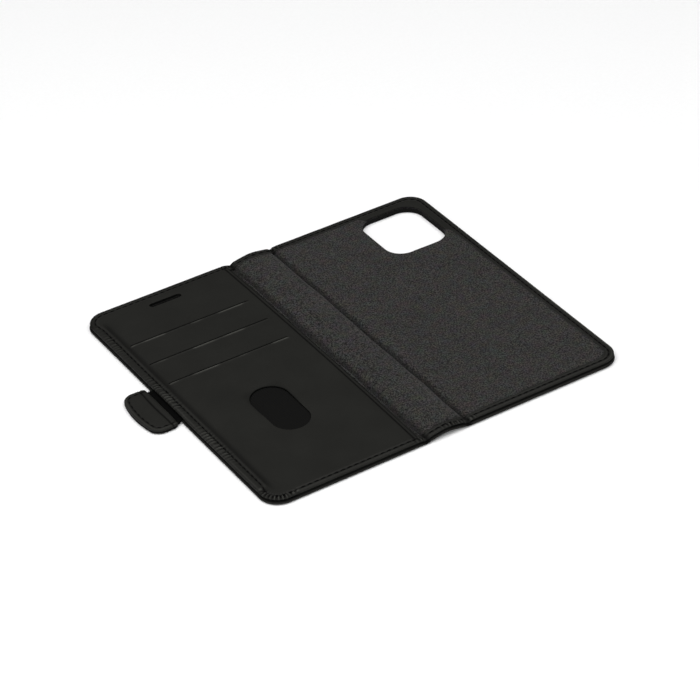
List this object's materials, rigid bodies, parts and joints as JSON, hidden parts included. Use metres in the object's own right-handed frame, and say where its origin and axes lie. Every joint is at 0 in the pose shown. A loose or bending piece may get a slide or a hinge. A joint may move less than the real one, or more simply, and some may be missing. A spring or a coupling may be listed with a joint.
{
  "type": "phone wallet case",
  "caption": "Folding black leather phone wallet lying open: suede-lined back with camera window, arched spine, front cover with card slits and thumb window, and a short magnetic closing tab.",
  "frame": {"origin": "middle of the back panel's outer face, which lies on the table", "axes": "+X away from the spine towards the back panel's free edge, +Y along the spine towards the camera window, +Z towards the inside of the open wallet"},
  "size_m": [0.1872, 0.158, 0.0047],
  "materials": {
    "black_leather": "smooth semi-matt finished leather, black",
    "grey_suede": "short-nap microfibre suede, dark grey",
    "cover_board": "stiffening board, plain grey-brown",
    "liner_cloth": "thin black woven lining",
    "black_thread": "waxed black sewing thread",
    "magnet_steel": "nickel-plated magnet and steel plate",
    "foam": "soft black foam"
  },
  "bodies": {
    "back_panel": {"back_outer_leather": "black_leather", "back_board": "cover_board", "phone_magnets": "magnet_steel", "closure_catch_plate": "magnet_steel", "back_suede_lining": "grey_suede", "back_leather_border": "black_leather", "back_thread": "black_thread"},
    "spine": {"spine_outer_leather": "black_leather", "spine_board": "cover_board", "spine_suede_lining": "grey_suede", "spine_end_borders": "black_leather", "spine_threads": "black_thread"},
    "front_cover": {"cover_outer_leather": "black_leather", "cover_board": "cover_board", "cash_pocket_wall": "black_leather", "card_liner_1": "liner_cloth", "card_liner_2": "liner_cloth", "card_liner_3": "liner_cloth", "card_panel": "black_leather", "cover_thread": "black_thread", "strap_root": "black_leather"},
    "clasp": {"strap_tongue": "black_leather", "clasp_lower_leather": "black_leather", "clasp_pad": "foam", "clasp_magnet": "magnet_steel", "clasp_upper_leather": "black_leather", "clasp_thread": "black_thread"}
  },
  "joints": [
    {"name": "spine_fold", "type": "hinge", "parent": "back_panel", "child": "spine", "pos_m": [-0.03875, 0, 0.00045], "axis": [0, 1, 0], "range_deg": [-90, 90]},
    {"name": "cover_fold", "type": "hinge", "parent": "spine", "child": "front_cover", "pos_m": [-0.05925, 0, 0.00045], "axis": [0, 1, 0], "range_deg": [-90, 90]},
    {"name": "strap_fold", "type": "hinge", "parent": "front_cover", "child": "clasp", "pos_m": [-0.13465, 0, 0.00125], "axis": [0, 1, 0], "range_deg": [-90, 90]}
  ]
}
